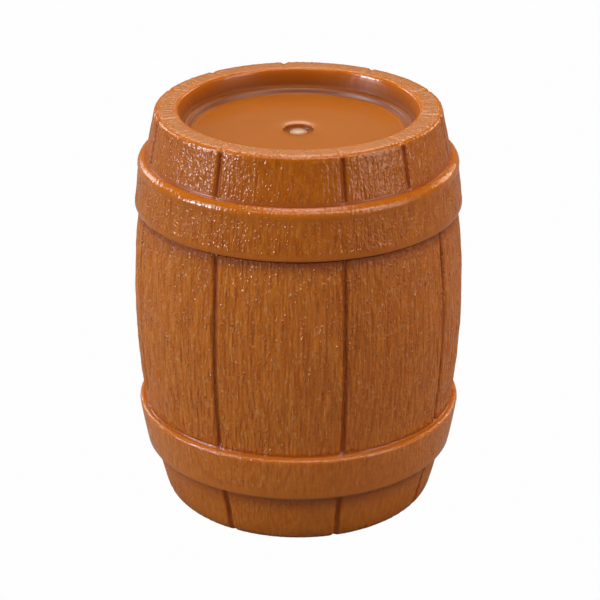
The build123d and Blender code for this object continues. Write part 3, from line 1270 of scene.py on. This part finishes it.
@dataclass
class Studio:
    """Camera, pale floor, white surroundings and soft lights."""

    pitch_degrees: float = 23.98
    distance: float = 0.4420
    field_degrees: float = 14.27
    aim_height: float = 0.03744
    sideways: float = 0.00027
    white: float = 0.988
    floor_albedo: float = 0.35
    floor_half: float = 3.0
    surroundings: tuple[float, float, float] = (0.14, 0.11, 0.07)
    lights: tuple[SoftLight, ...] = (
        SoftLight("overhead", 0.0, 90.0, 0.5, 4.2, (0.95, 0.98, 1.0)),
        SoftLight("ceiling_back", 180.0, 47.0, 0.5, 3.0, (1.0, 0.9, 0.8)),
        SoftLight("window", -71.0, 24.0, 0.22, 5.6, (0.82, 0.88, 1.0), 3.6),
        SoftLight("right_front", 50.0, 46.0, 0.4, 2.4, (1.0, 0.9, 0.75)),
        SoftLight("right_side", 80.0, 20.0, 0.4, 1.0, (1.0, 0.85, 0.6)),
        SoftLight("back_left", -131.0, 19.0, 0.4, 3.2),
        SoftLight("back_right", 131.0, 19.0, 0.4, 2.6, (1.0, 0.88, 0.65)),
        SoftLight("window_sheen", -71.0, 24.0, 0.4, 3.6, (0.92, 0.9, 1.0), 1.5, sheen=True),
        SoftLight("low_sheen", -73.0, 13.0, 0.3, 5.5, (0.92, 0.95, 1.0), 1.0, sheen=True),
        SoftLight("low_right_sheen", 60.0, 6.0, 0.6, 2.5, (1.0, 0.93, 0.82), 0.35, sheen=True),
        SoftLight("overhead_sheen", 0.0, 56.0, 0.9, 3.6, (1.0, 0.97, 0.92), 0.35, sheen=True),
        SoftLight("right_sheen", 62.0, 34.0, 0.4, 3.0, (1.0, 0.94, 0.86), 1.3, sheen=True),
        SoftLight("backdrop_sheen", 180.0, 26.0, 1.4, 0.4, (0.95, 1.0, 0.8), 0.5, sheen=True),
    )

    def camera(self) -> None:
        """Places the camera in front, looking down by the pitch at a point on the barrel's axis."""
        data = bpy.data.cameras.new("camera")
        data.sensor_width = 36.0
        data.lens = data.sensor_width / (2.0 * math.tan(math.radians(self.field_degrees) / 2.0))
        data.clip_start = 0.01
        pitch = math.radians(self.pitch_degrees)
        eye = bpy.data.objects.new("camera", data)
        eye.location = (
            self.sideways,
            -self.distance * math.cos(pitch),
            self.aim_height + self.distance * math.sin(pitch),
        )
        eye.rotation_euler = (math.pi / 2.0 - pitch, 0.0, 0.0)
        bpy.context.scene.collection.objects.link(eye)
        bpy.context.scene.camera = eye

    def floor(self) -> None:
        """Lays a floor that is as white to the camera as the surroundings, and greyer to what it lights."""
        half = self.floor_half
        mesh = bpy.data.meshes.new("studio_floor")
        mesh.from_pydata([(-half, -half, 0.0), (half, -half, 0.0), (half, half, 0.0), (-half, half, 0.0)], [],
                         [(0, 1, 2, 3)])
        ground = bpy.data.objects.new("studio_floor", mesh)
        bpy.context.scene.collection.objects.link(ground)
        material = bpy.data.materials.new("studio_floor")
        wire = empty_wiring(material)
        paper = wire.node("BsdfDiffuse", Color=(self.floor_albedo,) * 3 + (1.0,))
        glow = wire.node("Emission", Color=(1.0, 1.0, 1.0, 1.0), Strength=self.white)
        mixed = wire.node("MixShader")
        wire.feed(mixed, 0, wire.node("LightPath").outputs["Is Camera Ray"])
        wire.feed(mixed, 1, paper.outputs[0])
        wire.feed(mixed, 2, glow.outputs[0])
        wire.surface("OutputMaterial", mixed.outputs[0])
        mesh.materials.append(material)

    def world(self) -> None:
        """Surrounds the scene with white for the camera and a dimmer white for everything that is lit by it."""
        world = bpy.data.worlds.new("studio")
        wire = empty_wiring(world)
        seen = wire.node("LightPath").outputs["Is Camera Ray"]
        colour = wire.blend(seen, (*self.surroundings, 1.0), (self.white,) * 3 + (1.0,))
        back = wire.node("Background", Color=colour, Strength=1.0)
        wire.surface("OutputWorld", back.outputs[0])
        bpy.context.scene.world = world

    def build(self) -> None:
        """Sets up camera, floor, surroundings, lights and plain colour handling."""
        self.camera()
        self.floor()
        self.world()
        aim = Vector((0.0, 0.0, self.aim_height))
        for light in self.lights:
            light.build(aim)
        bpy.context.scene.view_settings.view_transform = "Standard"


def main() -> None:
    """Builds the studio, the finishes and the pieces in order, and reports each one."""
    logging.basicConfig(level=logging.INFO, format="%(name)s: %(message)s")
    drawn_noise_group("fine fibres", 1500.0, 0.16, Detail=1.0, Roughness=0.35, Distortion=0.3)
    pebble_group()
    drawn_noise_group("short wrinkles", 1700.0, 0.7, Detail=0.0, Distortion=0.6)
    tone_group()
    # Colour of painted shade in crevices, grooves and shaded places.
    painted_shade = (0.42, 0.09, 0.0)
    fine = MouldedPlastic("fine_grained_plastic", light=(0.78, 0.226, 0.012), dark=(0.58, 0.132, 0.0), painted_shade=painted_shade,
                          streaks=0.85, roughness=(0.06, 0.12), fibre_scale=2100.0, fibre_depth=0.2,
                          wrinkle_scale=2400.0, wrinkle_depth=0.07, pebble_depth=0.17, pebble_share=0.9, painted_glints=0.55)
    bold = MouldedPlastic("bold_grained_plastic", light=(0.67, 0.188, 0.009), dark=(0.5, 0.11, 0.0), painted_shade=painted_shade,
                          streaks=0.8, roughness=(0.12, 0.19), fibre_scale=2100.0, fibre_depth=0.1,
                          wrinkle_scale=2200.0, wrinkle_depth=0.07, pebble_depth=0.12, pebble_share=0.8, painted_glints=0.3,
                          gloss=0.42)
    smooth = MouldedPlastic("smooth_plastic", light=(0.52, 0.146, 0.006), dark=(0.43, 0.107, 0.001),
                            painted_shade=(0.25, 0.055, 0.0), streaks=0.0, roughness=(0.17, 0.22), fibre_scale=900.0,
                            fibre_depth=0.1, pebble_depth=0.15, pebble_share=0.03)
    satin = replace(smooth, name="satin_plastic", roughness=(0.28, 0.34), fibre_depth=0.04, pebble_depth=0.0,
                    gloss=0.2)
    blushed = MouldedPlastic("blushed_plastic", light=(0.56, 0.37, 0.24), dark=(0.48, 0.29, 0.16), painted_shade=painted_shade,
                             streaks=0.0, roughness=(0.08, 0.12))
    smooth_skin = smooth.build()
    Studio().build()
    for piece in (
        BarrelBody().build([fine.build(), smooth_skin]),
        SealRing().build([SealFoam().build()]),
        BarrelLid().build([bold.build(), smooth_skin, blushed.build(), satin.build()]),
    ):
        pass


if __name__ == "__main__":
    main()
